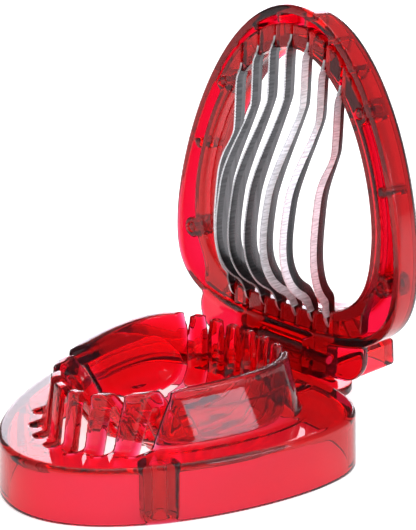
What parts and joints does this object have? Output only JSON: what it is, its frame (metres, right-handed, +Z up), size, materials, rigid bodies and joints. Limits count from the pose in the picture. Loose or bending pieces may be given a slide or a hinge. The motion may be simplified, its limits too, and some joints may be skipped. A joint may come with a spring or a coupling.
{
  "type": "egg slicer",
  "caption": "Open strawberry-shaped slicer: slotted cradle on a hollow base, hinged lid ring with wavy steel blades, stem at the hinge end.",
  "frame": {"origin": "middle of the underside of the whole object's box, with the lid open", "axes": "+Z up, +Y from the pointed end towards the hinge and stem, +X across, along the hinge pin"},
  "size_m": [0.066, 0.099, 0.0897],
  "materials": {
    "red_plastic": "clear red, glossy",
    "blade_steel": "brushed, ground edge",
    "steel_pin": "plain drawn wire"
  },
  "bodies": {
    "base": {"base_tray": "red_plastic", "hinge_pin": "steel_pin"},
    "lid": {"lid_shell": "red_plastic", "blade_ring": "red_plastic", "ring_pins": "red_plastic", "blade_1": "blade_steel", "blade_2": "blade_steel", "blade_3": "blade_steel", "blade_4": "blade_steel", "blade_5": "blade_steel", "blade_6": "blade_steel", "blade_7": "blade_steel"}
  },
  "joints": [
    {"name": "lid_hinge", "type": "hinge", "parent": "base", "child": "lid", "pos_m": [0, 0.0248, 0.0153], "axis": [1, 0, 0], "range_deg": [0, 92.5]}
  ]
}
